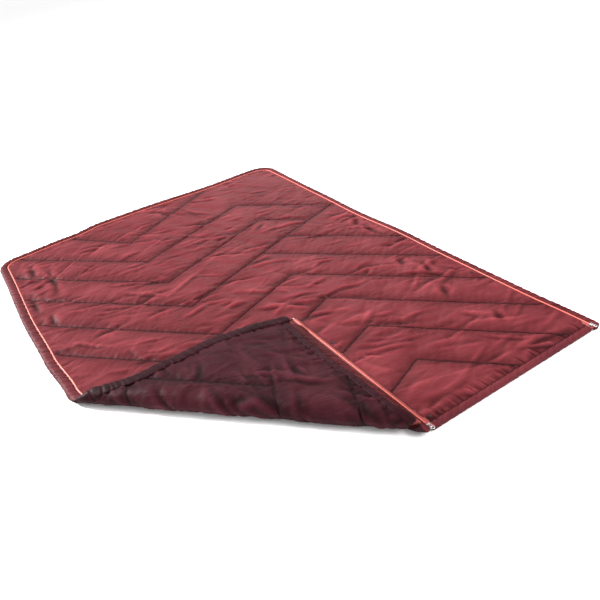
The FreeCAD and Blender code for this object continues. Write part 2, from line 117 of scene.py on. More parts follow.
def place(flat):
    """Points of the flat cloth to where they lie once the corner is folded over."""
    flat = np.asarray(flat, float).reshape(-1, 3)
    along = (flat[:, :2] - CORNER) @ FOLD_LINE
    past = SETBACK - across_fold(flat)
    turn = np.clip(past / BEND, 0, FULL_TURN)
    beyond = np.maximum(past - BEND * FULL_TURN, 0) * FLAP_SHRINK
    radius = BEND + HALF_LOFT - flat[:, 2]
    outward = radius * np.sin(turn) + np.minimum(past, 0) + beyond * math.cos(FULL_TURN)
    height = HALF_LOFT + BEND - radius * np.cos(turn) + beyond * math.sin(FULL_TURN)
    pressed = ease((FLAT_SIDE_START - along) / FLAT_SIDE_RUN) * ease(past / FLAT_SIDE_EDGE)
    pressed = pressed * (1 - ease(beyond / FLAP_REACH))
    height = HALF_LOFT + (height - HALF_LOFT) * (1 - (1 - FLAT_SIDE) * pressed)
    ground = CORNER + np.outer(SETBACK - outward, FOLD_NORMAL) + np.outer(along, FOLD_LINE)
    return np.column_stack((ground[:, 0] + SLIT_LINE_X, ground[:, 1], height))


def mesh_object(name, points, faces, smooth=True):
    mesh = bpy.data.meshes.new(name)
    mesh.from_pydata(np.asarray(points).tolist(), [], [tuple(f) for f in faces])
    mesh.update()
    mesh.polygons.foreach_set("use_smooth", [smooth] * len(mesh.polygons))
    made = bpy.data.objects.new(name, mesh)
    bpy.context.scene.collection.objects.link(made)
    return made


# Outlines -----------------------------------------------------------------------------------

# How far each edge wanders out of line as the cloth lies, as (place along it, amount) in metres.
RIGHT_DRIFT = ((-1.0, 0.0), (-0.8, -0.005), (-0.4, -0.003), (-0.14, 0.003), (0.15, -0.008),
               (0.5, 0.0), (0.9, 0.006))
LEFT_DRIFT = ((-1.07, 0.027), (-0.93, 0.008), (-0.81, 0.008), (-0.62, 0.038), (-0.50, 0.056),
              (-0.33, 0.032), (-0.22, 0.016), (0.02, -0.003), (0.35, -0.013), (0.8, -0.008))
FOOT_DRIFT = ((-0.75, -0.092), (-0.45, -0.058), (-0.28, -0.018), (0.0, -0.010), (0.33, -0.020),
              (0.62, -0.003))
HEAD_DRIFT = ((-0.8, -0.006), (-0.56, -0.023), (-0.40, -0.026), (-0.30, -0.018), (-0.14, -0.018),
              (-0.06, 0.0))


def drift(table, at):
    """A smooth sideways wander through a few places along an edge."""
    places, amounts = np.array(table).T
    at = np.clip(at, places[0], places[-1])
    i = np.clip(np.searchsorted(places, at, side="right") - 1, 0, len(places) - 2)
    share = ease((at - places[i]) / (places[i + 1] - places[i]))
    return amounts[i] + share * (amounts[i + 1] - amounts[i])


def outer_edge(side):
    """The zip guard's outer edge from a head corner to the middle of the foot."""
    half = RIGHT_HALF if side > 0 else LEFT_HALF
    radius = FOOT_RADIUS[side]
    straight = np.linspace(HEAD_Y, FOOT_Y - radius, 700)
    angle = np.linspace(0, math.pi / 2, 50)[1:]
    turn_x = half - radius + radius * np.cos(angle)
    turn_y = FOOT_Y - radius + radius * np.sin(angle)
    foot_x = np.linspace(half - radius, 0, 250)[1:]
    x = np.concatenate((np.full(len(straight), half), turn_x, foot_x))
    y = np.concatenate((straight, turn_y, np.full(len(foot_x), FOOT_Y)))
    wander = drift(RIGHT_DRIFT, y) if side > 0 else -drift(LEFT_DRIFT, y)
    near_side = ease((x - 0.4) / 0.3)
    near_foot = ease((y - 0.6) / 0.4)
    x, y = x + wander * near_side, y + drift(FOOT_DRIFT, side * x) * near_foot
    return np.column_stack((side * x, y))


def resampled(points, step):
    """The same line with even steps, and its tangents."""
    points = np.asarray(points, float)
    gaps = np.linalg.norm(np.diff(points, axis=0), axis=1)
    run = np.concatenate(([0], np.cumsum(gaps)))
    count = max(2, int(round(run[-1] / step)) + 1)
    at = np.linspace(0, run[-1], count)
    even = np.column_stack([np.interp(at, run, points[:, k]) for k in (0, 1)])
    tangent = np.gradient(even, at, axis=0)
    smooth = np.ones(5) / 5
    padded = np.pad(tangent, ((2, 2), (0, 0)), mode="edge")
    tangent = np.column_stack([np.convolve(padded[:, k], smooth, mode="valid") for k in (0, 1)])
    return at, even, tangent / np.linalg.norm(tangent, axis=1)[:, None]


def inset(line, distance):
    """A line moved towards the left of its own direction, into the blanket."""
    _, even, tangent = resampled(line, ZIP_STEP)
    return even + distance * np.column_stack((-tangent[:, 1], tangent[:, 0]))


def head_line(x):
    """The head edge of the folded corner, which its elastic draws in."""
    return HEAD_Y - drift(HEAD_DRIFT, np.asarray(x))


right_side = outer_edge(1)
left_side = outer_edge(-1)[::-1]
zip_line = np.concatenate((right_side, left_side[1:]))
slit_line = np.array(((SLIT_EDGE_X, SLIT_Y), (SLIT_EDGE_X, HEAD_Y)))
SLIT_LEFT_X = LEFT_COIL_X + COIL_MIDDLE - SLIT_COIL_OFFSET
slit_left_line = np.array(((SLIT_LEFT_X, HEAD_Y), (SLIT_LEFT_X, SLIT_Y)))
hem_x = np.linspace(-LEFT_HALF, LEFT_PANEL_X, 300)
left_head = np.column_stack((hem_x, head_line(hem_x)))
right_head = np.array(((RIGHT_PANEL_X, HEAD_Y), (RIGHT_HALF, HEAD_Y)))


def panel_outline():
    """The quilted panel inside its zips and hems, with the slit as a notch."""
    zips = inset(zip_line, SHELL_INSET)
    head_inner = HEAD_Y + HEM_WIDTH
    keep = (zips[:, 1] > head_inner) & ((zips[:, 0] > 0) | (zips[:, 1] > head_line(zips[:, 0]) + HEM_WIDTH))
    zips = zips[keep]
    low = inset(left_head, HEM_WIDTH)
    low = low[low[:, 0] > zips[-1, 0]]
    notch = np.array(((LEFT_PANEL_X, head_inner), (LEFT_PANEL_X, SLIT_Y), (RIGHT_PANEL_X, SLIT_Y),
                      (RIGHT_PANEL_X, head_inner)))
    corners = np.concatenate((zips, low[:-1], notch))
    _, outline, _ = resampled(np.concatenate((corners, corners[:1])), 0.007)
    return outline[:-1]


# Quilting -----------------------------------------------------------------------------------
# Eight rows run across the middle, kink at two lines and fall away to both sides. Some end
# on a neighbour instead of crossing it.

FIRST_ROW_Y = 0.70
ROW_GAP = 0.2431
MIDDLE_SLOPE = 0.42
LEFT_SLOPE = 1.07
RIGHT_SLOPE = 1.08
LEFT_KINK = -0.244
RIGHT_KINK = 0.171
LEFT_OUTSIDE = SHELL_INSET - LEFT_HALF
RIGHT_OUTSIDE = RIGHT_HALF - SHELL_INSET


def middle(row, x):
    return (x, FIRST_ROW_Y - ROW_GAP * (row - 1) + MIDDLE_SLOPE * (x - LEFT_KINK))


def leftward(row, x):
    return (x, middle(row, LEFT_KINK)[1] - LEFT_SLOPE * (x - LEFT_KINK))


def rightward(row, x):
    return (x, middle(row, RIGHT_KINK)[1] - RIGHT_SLOPE * (x - RIGHT_KINK))


def full_row(row, left_x, left_kink, right_kink, right_x, right_row=None):
    """Left fall, middle and right fall of one row."""
    right_row = right_row or row
    left = [leftward(row if left_kink == LEFT_KINK else row + 1, x) for x in (left_x, left_kink)]
    return left + [middle(row, right_kink), rightward(right_row, right_x)]


SEAMS = [
    [(-0.474, 1.020), middle(1, LEFT_KINK + 0.008), (0.329, 1.035)],
    full_row(2, LEFT_OUTSIDE, LEFT_KINK, 0.329, RIGHT_OUTSIDE, right_row=1),
    full_row(3, LEFT_OUTSIDE, LEFT_KINK, 0.329, 0.49, right_row=2),
    [leftward(4, LEFT_OUTSIDE), middle(4, LEFT_KINK), middle(4, 0.333), (0.66, 0.332)],
    [middle(4, 0.333), rightward(3, RIGHT_OUTSIDE)],
    [middle(4, RIGHT_KINK), rightward(4, RIGHT_OUTSIDE)],
    full_row(5, LEFT_OUTSIDE, LEFT_KINK, RIGHT_KINK, RIGHT_OUTSIDE),
    [middle(5, -0.731), middle(5, LEFT_KINK)],
    [leftward(6, LEFT_OUTSIDE), leftward(6, -0.406)],
    full_row(6, -0.569, -0.406, RIGHT_KINK, RIGHT_OUTSIDE),
    full_row(7, LEFT_OUTSIDE, -0.406, RIGHT_KINK, 0.64),
    [middle(8, -0.36), middle(8, RIGHT_KINK), rightward(8, 0.381)],
]


def seam_samples(step):
    """Points along every seam, with their directions."""
    spots, headings = [], []
    for seam in SEAMS:
        for start, end in zip(seam, seam[1:]):
            start, end = np.array(start), np.array(end)
            count = max(2, int(np.linalg.norm(end - start) / step))
            share = (np.arange(count) + 0.5)[:, None] / count
            spots.append(start + share * (end - start))
            headings.append(np.tile((end - start) / np.linalg.norm(end - start), (count, 1)))
    return np.concatenate(spots), np.concatenate(headings)


def nearest_seam(points):
    """Distance to the closest seam, and the distance run along it."""
    best = np.full(len(points), 9.0)
    run = np.zeros(len(points))
    before = 0.0
    for seam in SEAMS:
        for start, end in zip(seam, seam[1:]):
            start, end = np.array(start), np.array(end)
            length = np.linalg.norm(end - start)
            share = np.clip((points - start) @ (end - start) / length ** 2, 0, 1)
            away = np.linalg.norm(points - start - share[:, None] * (end - start), axis=1)
            closer = away < best
            best[closer] = away[closer]
            run[closer] = before + share[closer] * length
            before += length
    return best, run


def nearest_on(points, line):
    """Distance to the closest point of a line, and that point's number."""
    best = np.full(len(points), 9.0)
    which = np.zeros(len(points), int)
    for first in range(0, len(points), 4000):
        part = points[first:first + 4000]
        away = np.linalg.norm(part[:, None, :] - line[None, :, :], axis=2)
        which[first:first + 4000] = away.argmin(axis=1)
        best[first:first + 4000] = away.min(axis=1)
    return best, which


def inside(points, outline):
    result = np.zeros(len(points), bool)
    for (x0, y0), (x1, y1) in zip(outline, np.roll(outline, -1, axis=0)):
        crosses = (y0 > points[:, 1]) != (y1 > points[:, 1])
        at = x0 + (points[:, 1] - y0) * (x1 - x0) / (y1 - y0 if y1 != y0 else 1)
        result ^= crosses & (points[:, 0] < at)
    return result


# Triangle sizes on the panel and beside the right hem, how many rows of the small ones, and a
# row's height as a share of the large ones.
CELL = 0.0085
HEM_CELL = 0.0046
HEM_ROWS = 12
ROW_HEIGHT = 0.866
# Rows of points beside each seam, and the room that the plain grid leaves them.
SEAM_ROWS = (-0.0105, -0.0045, 0.0045, 0.0105)
SEAM_ROOM = 0.0145


def flat_panel():
    """The panel as triangles that follow its outline, its seams and the middle of the fold."""
    outline = panel_outline()
    columns = np.arange(-LEFT_HALF, RIGHT_HALF, CELL)
    x, y = np.meshgrid(columns, np.arange(HEAD_Y, FOOT_Y + 0.03, CELL * ROW_HEIGHT))
    x[1::2] += CELL / 2
    grid = np.column_stack((x.ravel(), y.ravel()))
    grid += noise.uniform(-0.18, 0.18, grid.shape) * CELL
    spots, headings = seam_samples(CELL * 0.8)
    beside = np.column_stack((-headings[:, 1], headings[:, 0]))
    rows = [spots + away * beside for away in SEAM_ROWS]
    hem_steps = np.arange(RIGHT_PANEL_X, RIGHT_OUTSIDE, HEM_CELL)
    hem_y = HEAD_Y + HEM_WIDTH
    near_hem = []
    for k in range(1, HEM_ROWS):
        row_y = np.full(len(hem_steps), hem_y + k * HEM_CELL)
        near_hem.append(np.column_stack((hem_steps + (k % 2) * HEM_CELL / 2, row_y)))
    near_hem = np.concatenate(near_hem)
    grid = grid[(grid[:, 0] < RIGHT_PANEL_X) | (grid[:, 1] > hem_y + HEM_ROWS * HEM_CELL)]
    near_hem = near_hem[nearest_seam(near_hem)[0] > 0.0045]
    seam_away, _ = nearest_seam(grid)
    grid = grid[seam_away > SEAM_ROOM]
    extra = np.concatenate(rows)
    extra = extra[nearest_seam(extra)[0] > 0.004]
    loose = np.concatenate((grid, extra, near_hem))
    loose = loose[inside(loose, outline)]
    loose = loose[nearest_on(loose, outline)[0] > HEM_CELL * 0.6]
    steps = np.arange(-0.7, 0.7, CELL)[:, None]
    fold_middle = CORNER + MID_BEND * FOLD_NORMAL + steps * FOLD_LINE
    loose = loose[np.abs(across_fold(loose) - MID_BEND) > CELL * 0.4]
    points = [outline, fold_middle]
    total = len(outline) + len(fold_middle)
    edges = [(i, i + 1) for i in range(len(outline), total - 1)]
    for seam in SEAMS:
        for start, end in zip(seam, seam[1:]):
            start, end = np.array(start), np.array(end)
            count = max(2, int(np.linalg.norm(end - start) / (CELL * 0.8))) + 1
            line = start + np.linspace(0, 1, count)[:, None] * (end - start)
            edges += [(total + i, total + i + 1) for i in range(count - 1)]
            points.append(line)
            total += count
    points.append(loose)
    every = np.concatenate(points)
    face = list(range(len(outline)))
    found = delaunay_2d_cdt([Vector(p) for p in every], edges, [face], 1, 1e-6, False)
    points = np.array([tuple(v) for v in found[0]])
    faces = np.array([f for f in found[2] if len(f) == 3])
    faces = faces[inside(points[faces].mean(axis=1), outline)]
    used = np.unique(faces)
    number = np.zeros(len(points), int)
    number[used] = np.arange(len(used))
    return points[used], number[faces], outline


def waves(run, lengths, seed):
    """A sum of sines with uneven lengths, from -1 to 1."""
    phases = np.random.default_rng(seed).uniform(0, 6.28, len(lengths))
    return sum(np.sin(6.2832 * run / length + p) for length, p in zip(lengths, phases)) / len(lengths)


PUFF = 0.0125
# The share of the simulated height that is kept, and how far a point may move sideways.
PUFF_SHARE = 0.55
SIDEWAYS_CAP = 0.004
SIMULATED_STEPS = 22


def first_relief(points, seam_away, run, edge_away):
    """A low quilted relief, puckered along the seams; it is the start of the simulation."""
    away = np.minimum(seam_away, edge_away)
    dome = 1 - np.exp(-away / 0.019)
    pucker = np.exp(-seam_away / 0.016) * (1 - np.exp(-seam_away / 0.003))
    ripple = waves(run, (0.024, 0.041, 0.067, 0.113), 3) * pucker
    broad = waves(points[:, 0] + 0.6 * points[:, 1], (0.11, 0.17, 0.29), 5)
    broad = broad + waves(points[:, 1] - 0.5 * points[:, 0], (0.13, 0.21, 0.31), 6)
    return PUFF * dome * (0.85 + 0.10 * broad) + 0.0025 * ripple


def simulate(points, faces, relief, pinned):
    """Blows the cloth up a little between its seams, so that it wrinkles as filled cloth does."""
    sheet = mesh_object("simulated", np.column_stack((points, relief)), faces)
    group = sheet.vertex_groups.new(name="sewn")
    group.add(np.flatnonzero(pinned).tolist(), 1.0, "REPLACE")
    cloth = sheet.modifiers.new("cloth", "CLOTH")
    settings = cloth.settings
    settings.quality = 4
    settings.mass = 0.15
    settings.tension_stiffness = 12
    settings.compression_stiffness = 12
    settings.shear_stiffness = 4
    settings.bending_stiffness = 0.4
    settings.vertex_group_mass = "sewn"
    settings.shrink_min = -0.022
    settings.use_pressure = True
    settings.uniform_pressure_force = 0.6
    settings.effector_weights.gravity = 0
    settings.air_damping = 3
    cloth.collision_settings.use_collision = False
    cloth.point_cache.frame_end = SIMULATED_STEPS
    for step in range(1, SIMULATED_STEPS + 1):
        bpy.context.scene.frame_set(step)
    shaped = sheet.evaluated_get(bpy.context.evaluated_depsgraph_get())
    result = np.zeros(len(points) * 3)
    shaped.data.vertices.foreach_get("co", result)
    sheet.modifiers.remove(cloth)
    bpy.data.objects.remove(sheet)
    bpy.context.scene.frame_set(1)
    return result.reshape(-1, 3)


# Creases: a few deep ones that the eye picks out, each a line on the flat cloth, and many
# shallow ones that cross the rows slantwise.
DEEP_FOLDS = [
    [(-0.68, 0.86), (-0.69, 0.66)],
    [(-0.62, 0.80), (-0.63, 0.54), (-0.66, 0.39)],
    [(-0.74, 0.55), (-0.74, 0.33)],
    [(-0.70, 0.34), (-0.71, 0.20)],
    [(-0.64, 0.02), (-0.45, 0.05)],
    [(-0.06, 1.00), (0.00, 0.93), (0.03, 0.83)],
    [(0.655, 0.12), (0.61, 0.05)],
    [(0.64, 0.08), (0.63, -0.03), (0.64, -0.12)],
    [(0.55, -0.30), (0.52, -0.38)],
    [(0.59, -0.39), (0.55, -0.51)],
    [(0.53, -0.56), (0.48, -0.65)],
    [(0.54, -0.80), (0.50, -0.88)],
    [(0.24, 0.34), (0.33, 0.40)],
    [(0.06, 0.10), (0.20, 0.06)],
]
CREASES = 820
CREASE_HEADING = math.radians(-14)
TALLEST_CREASE = 0.0055
# A deep fold's lip has a height, a distance from the line and a width; its valley a depth and
# a width.
FOLD_LIP = (0.0024, 0.024, 0.014)
FOLD_VALLEY = (0.0044, 0.012)


def deep_folds(points):
    """Valleys with a raised lip on both sides."""
    height = np.zeros(len(points))
    for line in DEEP_FOLDS:
        bends = np.array(line)
        _, samples, _ = resampled(bends, 0.004)
        away, which = nearest_on(points, samples)
        along = which / (len(samples) - 1)
        fade = ease(np.minimum(along, 1 - along) / 0.45)
        wavering = 1 + 0.35 * waves(which * 0.004, (0.05, 0.08, 0.13), len(samples))
        away = away * wavering
        lip = FOLD_LIP[0] * np.exp(-((away - FOLD_LIP[1]) / FOLD_LIP[2]) ** 2)
        height += fade * (lip - FOLD_VALLEY[0] * np.exp(-(away / FOLD_VALLEY[1]) ** 2))
    return height


def creases(points):
    """Long low ridges, each with a valley on one side."""
    draws = np.random.default_rng(41)
    height = np.zeros(len(points))
    for _ in range(CREASES):
        middle_at = draws.uniform((-LEFT_HALF, HEAD_Y), (RIGHT_HALF, FOOT_Y))
        heading = CREASE_HEADING + draws.normal(0, 0.42)
        reach = draws.uniform(0.035, 0.15)
        width = draws.uniform(0.0052, 0.0105)
        tall = 0.0008 + draws.exponential(0.0016)
        curl = draws.normal(0, 0.9)
        side = draws.choice((-1, 1))
        from_middle = points - middle_at
        near = np.flatnonzero(np.abs(from_middle).max(axis=1) < reach + 0.04)
        along = from_middle[near] @ (math.cos(heading), math.sin(heading))
        across = from_middle[near] @ (-math.sin(heading), math.cos(heading)) + curl * along ** 2
        fade = np.clip(1 - (along / reach) ** 2, 0, 1) ** 2
        valley = np.exp(-((across - side * 1.8 * width) / (1.3 * width)) ** 2)
        ridge = np.exp(-(across / width) ** 2) - 0.7 * valley
        height[near] += min(tall, TALLEST_CREASE) * fade * ridge
    return height


def gathers(points, zip_away, zip_run):
    """Short teeth where the hems' elastic and the zips draw the panel in."""
    hem_line = np.where(points[:, 0] > 0, HEAD_Y, head_line(points[:, 0])) + HEM_WIDTH
    away = points[:, 1] - hem_line
    reach = 0.050 + 0.022 * waves(points[:, 0], (0.05, 0.083, 0.13), 71)
    teeth = waves(points[:, 0] + 0.25 * away, (0.012, 0.017, 0.023, 0.037), 73)
    drawn = 0.0085 * teeth * np.clip(1 - away / reach, 0, 1) ** 1.4
    zip_reach = 0.034 + 0.014 * waves(zip_run, (0.06, 0.11, 0.19), 77)
    puckers = waves(zip_run, (0.021, 0.034, 0.058), 79)
    return drawn + 0.0036 * puckers * np.clip(1 - (zip_away - SHELL_INSET) / zip_reach, 0, 1)


# Heights of the shell over the ground: on a seam, at a zip, at a hem and at most.
SEAM_LEVEL = 0.0150
EDGE_LEVEL = 0.0208
HEM_LEVEL = 0.0135
TOP_LEVEL = 0.0305
# Relief above SOFT_TOP counts half, and relief below LOWEST is cut off.
SOFT_TOP = 0.012
LOWEST = -0.004
# The lining on the ground stays between these heights.
GROUND_LINING = (0.0006, 0.004)


def quilt():
    """Flat places, levels over the sewn plane and triangles of the quilted cloth."""
    points, faces, outline = flat_panel()
    seam_away, run = nearest_seam(points)
    edge_away, _ = nearest_on(points, outline)
    relief = first_relief(points, seam_away, run, edge_away)
    pinned = (seam_away < 1e-4) | (edge_away < 1e-4)
    blown = simulate(points, faces, relief, pinned)
    moved = blown[:, :2] - points
    length = np.linalg.norm(moved, axis=1)
    cap = np.minimum(1, SIDEWAYS_CAP / np.maximum(length, 1e-9))
    points = points + moved * cap[:, None]
    relief = blown[:, 2] * PUFF_SHARE
    return points, faces, relief, seam_away, edge_away


points, faces, relief, seam_away, edge_away = quilt()
zip_points, zip_tangent = resampled(zip_line, ZIP_STEP)[1:]
zip_away, zip_number = nearest_on(points, zip_points)
away_from_hem = points[:, 1] - HEM_WIDTH - np.where(points[:, 0] > 0, HEAD_Y, head_line(points[:, 0]))
edge_level = np.where(away_from_hem < 0.020, HEM_LEVEL, EDGE_LEVEL)
sewn_level = SEAM_LEVEL + (edge_level - SEAM_LEVEL) * np.exp(-edge_away / 0.010)
free = 1 - np.exp(-np.minimum(seam_away, edge_away) / 0.006)
wrinkles = (creases(points) + deep_folds(points)) * free
drawn_in = gathers(points, zip_away, zip_number * ZIP_STEP) * (1 - np.exp(-edge_away / 0.004))
relief = relief + wrinkles + drawn_in
# Painted shade and highlight: wrinkle and gather heights, which darken the colour in valleys and lighten it
# on crests, less a painted shade along the hems.
shade = wrinkles + 0.6 * drawn_in - 0.0026 * np.exp(-np.maximum(away_from_hem, 0) / 0.020)
relief = np.where(relief > SOFT_TOP, SOFT_TOP + 0.5 * (relief - SOFT_TOP), np.maximum(relief, LOWEST))
shell_height = np.minimum(sewn_level + relief, TOP_LEVEL)
corner_share = ease((SETBACK - across_fold(points)) / 0.1)
lining_height = LOFT - (SEAM_LEVEL + relief)
on_ground = across_fold(points) > SETBACK - 0.01
lining_height = np.where(on_ground, np.maximum(lining_height, GROUND_LINING[0]), lining_height)
ground_lining = np.clip(lining_height, *GROUND_LINING)
lining_height = ground_lining * (1 - corner_share) + lining_height * corner_share

LINING_BAND = 0.10
reach_out = np.clip((LINING_BAND - zip_away) / (LINING_BAND - SHELL_INSET), 0, 1)
reach_out = reach_out * (SHELL_INSET - GUARD_WIDTH)
outward = np.column_stack((zip_tangent[:, 1], -zip_tangent[:, 0]))[zip_number]
lining_points = points + outward * reach_out[:, None]

in_corner = across_fold(points[faces].mean(axis=1)) < MID_BEND


def bends_lower(piece):
    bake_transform(piece)


def bends_upper(piece):
    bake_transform(piece)


# Materials ----------------------------------------------------------------------------------


def shader(name, rough, metal=0.0):
    made = bpy.data.materials.new(name)
    made.use_nodes = True
    main = made.node_tree.nodes["Principled BSDF"]
    main.inputs["Roughness"].default_value = rough
    main.inputs["Metallic"].default_value = metal
    return made, made.node_tree, main


def texture(tree, kind, scale, stretch=None, **inputs):
    """A procedural texture in the row's own metres, drawn out along the creases by stretch."""
    where = tree.nodes.new("ShaderNodeTexCoord").outputs["Object"]
    made = tree.nodes.new(kind)
    if stretch:
        turned = tree.nodes.new("ShaderNodeMapping")
        turned.vector_type = "TEXTURE"
        turned.inputs["Rotation"].default_value = (0, 0, CREASE_HEADING)
        turned.inputs["Scale"].default_value = (stretch, 1, 1)
        tree.links.new(where, turned.inputs["Vector"])
        where = turned.outputs["Vector"]
    tree.links.new(where, made.inputs["Vector"])
    made.inputs["Scale"].default_value = scale
    for key, value in inputs.items():
        made.inputs[key.replace("_", " ")].default_value = value
    return made


def ramp(tree, source, stops):
    made = tree.nodes.new("ShaderNodeValToRGB")
    while len(made.color_ramp.elements) < len(stops):
        made.color_ramp.elements.new(0.5)
    for element, (at, colour) in zip(made.color_ramp.elements, stops):
        element.position = at
        element.color = (*colour, 1)
    tree.links.new(source, made.inputs["Fac"])
    return made


def bump(tree, source, strength, distance, after=None):
    made = tree.nodes.new("ShaderNodeBump")
    made.inputs["Strength"].default_value = strength
    made.inputs["Distance"].default_value = distance
    tree.links.new(source, made.inputs["Height"])
    if after:
        tree.links.new(after.outputs["Normal"], made.inputs["Normal"])
    return made


def mixed(tree, kind, first, second, amount):
    made = tree.nodes.new("ShaderNodeMix")
    made.data_type = "RGBA"
    made.blend_type = kind
    made.inputs[0].default_value = amount
    tree.links.new(first, made.inputs[6])
    tree.links.new(second, made.inputs[7])
    return made.outputs[2]


def cloth_material(name, dark, plain, light, rough, sheen, specular, seam_shade=True):
    """Light woven cloth: two thread directions, crinkle, uneven dye, and painted shade and highlight on seams
    and creases.
    """
    made, tree, main = shader(name, rough)
    main.inputs["Sheen Weight"].default_value = sheen
    main.inputs["Sheen Roughness"].default_value = 0.4
    main.inputs["Sheen Tint"].default_value = (*light, 1)
    main.inputs["Specular IOR Level"].default_value = specular
    cloudy = texture(tree, "ShaderNodeTexNoise", 5.0, Detail=6.0, Roughness=0.6)
    colour = ramp(tree, cloudy.outputs["Fac"], ((0.30, dark), (0.5, plain), (0.72, light))).outputs["Color"]
    thread = []
    for direction in ("X", "Y"):
        weave = texture(tree, "ShaderNodeTexWave", 260.0, Distortion=0.6, Detail=1.0)
        weave.bands_direction = direction
        thread.append(weave.outputs["Fac"])
    crossing = tree.nodes.new("ShaderNodeMath")
    crossing.operation = "MULTIPLY"
    tree.links.new(thread[0], crossing.inputs[0])
    tree.links.new(thread[1], crossing.inputs[1])
    weave_tone = ramp(tree, crossing.outputs[0], ((0.0, (0.82, 0.82, 0.82)), (1.0, (1.06, 1.06, 1.06))))
    colour = mixed(tree, "MULTIPLY", colour, weave_tone.outputs["Color"], 0.8)
    # Painted shade: the colour darkens in the seam grooves and towards the seams, and the puffed middles of
    # the rows get a painted highlight.
    if seam_shade:
        seam = tree.nodes.new("ShaderNodeAttribute")
        seam.attribute_name = "seam_away"
        tone = ramp(tree, seam.outputs["Fac"], ((0.0, (0.08, 0.06, 0.07)), (0.05, (0.36, 0.31, 0.32)),
                                                (0.12, (0.80, 0.78, 0.78)), (1.0, (1.20, 1.20, 1.20))))
        colour = mixed(tree, "MULTIPLY", colour, tone.outputs["Color"], 1.0)
    # Painted shade and highlight: the colour darkens in wrinkle valleys, beside the hems and on the low sides
    # of tubes, and lightens on crests and tube tops.
    crease = tree.nodes.new("ShaderNodeAttribute")
    crease.attribute_name = "wrinkle_shade"
    crease_shade_and_highlight = ramp(tree, crease.outputs["Fac"], ((0.0, (0.30, 0.25, 0.25)), (0.38, (0.80, 0.77, 0.77)),
                                              (0.60, (1.06, 1.07, 1.07)), (1.0, (1.62, 1.72, 1.72))))
    colour = mixed(tree, "MULTIPLY", colour, crease_shade_and_highlight.outputs["Color"], 1.0)
    tree.links.new(colour, main.inputs["Base Color"])
    broad_creases = texture(tree, "ShaderNodeTexNoise", 17.0, stretch=2.4, Detail=2.0, Distortion=1.2)
    crinkle = texture(tree, "ShaderNodeTexNoise", 46.0, stretch=2.6, Detail=4.0, Roughness=0.55,
                      Distortion=1.4)
    rounds = bump(tree, broad_creases.outputs["Fac"], 0.5, 0.0120)
    rounds = bump(tree, crinkle.outputs["Fac"], 0.45, 0.0040, rounds)
    rounds = bump(tree, crossing.outputs[0], 0.25, 0.0002, rounds)
    tree.links.new(rounds.outputs["Normal"], main.inputs["Normal"])
    return made


GRAIN_DEPTH = 0.0001


def plain_material(name, dark, light, rough, metal=0.0, grain=400.0, specular=0.5):
    """Zip nylon, plastic or metal with fine grain and scuffs."""
    made, tree, main = shader(name, rough, metal)
    main.inputs["Specular IOR Level"].default_value = specular
    patch = texture(tree, "ShaderNodeTexNoise", grain, Detail=5.0, Roughness=0.65)
    colour = ramp(tree, patch.outputs["Fac"], ((0.35, dark), (0.65, light)))
    tree.links.new(colour.outputs["Color"], main.inputs["Base Color"])
    scuffs = ramp(tree, patch.outputs["Fac"], ((0.3, (rough * 0.8,) * 3), (0.7, (min(1, rough * 1.25),) * 3)))
    tree.links.new(scuffs.outputs["Color"], main.inputs["Roughness"])
    raised = bump(tree, patch.outputs["Fac"], 0.4, GRAIN_DEPTH)
    tree.links.new(raised.outputs["Normal"], main.inputs["Normal"])
    return made


# Dark, plain and light tone of each cloth.
SHELL_TONES = ((0.072, 0.0096, 0.0122), (0.092, 0.0133, 0.0165), (0.117, 0.0192, 0.0228))
LINING_TONES = ((0.019, 0.0028, 0.0051), (0.027, 0.0044, 0.0071), (0.039, 0.0070, 0.0107))
GUARD_TONES = ((0.052, 0.0065, 0.0085), (0.074, 0.0098, 0.0125), (0.100, 0.0145, 0.0180))
HEM_TONES = ((0.060, 0.0085, 0.0115), (0.082, 0.0120, 0.0155), (0.105, 0.0165, 0.0210))
BINDING_TONES = ((0.013, 0.0020, 0.0036), (0.019, 0.0030, 0.0050), (0.027, 0.0048, 0.0075))
shell_cloth = cloth_material("shell_cloth", *SHELL_TONES, 0.54, 0.02, 0.05)
lining_cloth = cloth_material("lining_cloth", *LINING_TONES, 0.60, 0.01, 0.05)
guard_cloth = cloth_material("guard_cloth", *GUARD_TONES, 0.55, 0.02, 0.06, seam_shade=False)
hem_cloth = cloth_material("hem_cloth", *HEM_TONES, 0.55, 0.02, 0.06, seam_shade=False)
binding_cloth = cloth_material("binding_cloth", *BINDING_TONES, 0.55, 0.01, 0.05, seam_shade=False)
coil_nylon = plain_material("coil_nylon", (0.56, 0.085, 0.060), (0.70, 0.14, 0.10), 0.42)
tape_weave = plain_material("tape_weave", (0.16, 0.020, 0.018), (0.24, 0.034, 0.030), 0.7, grain=900.0)
thread_dark = plain_material("sewing_thread", (0.050, 0.010, 0.013), (0.085, 0.018, 0.022), 0.6, grain=1500.0)
zip_metal = plain_material("zip_metal", (0.45, 0.45, 0.46), (0.68, 0.68, 0.69), 0.28, metal=1.0, grain=700.0)
black_plastic = plain_material("black_plastic", (0.006, 0.005, 0.006), (0.014, 0.012, 0.013), 0.5,
                               grain=900.0, specular=0.15)

# Quilted cloths -----------------------------------------------------------------------------

# The distance from a seam and the height of a wrinkle that make a whole step from 0 to 1 in the painted shade
# and highlight.
GROOVE_REACH = 0.05
WRINKLE_RANGE = 0.007


def store(piece, name, values):
    """Keeps a value from 0 to 1 at each point, for the material to read."""
    kept = piece.data.attributes.new(name, "FLOAT", "POINT")
    kept.data.foreach_set("value", np.clip(values, 0, 1).astype(np.float32))


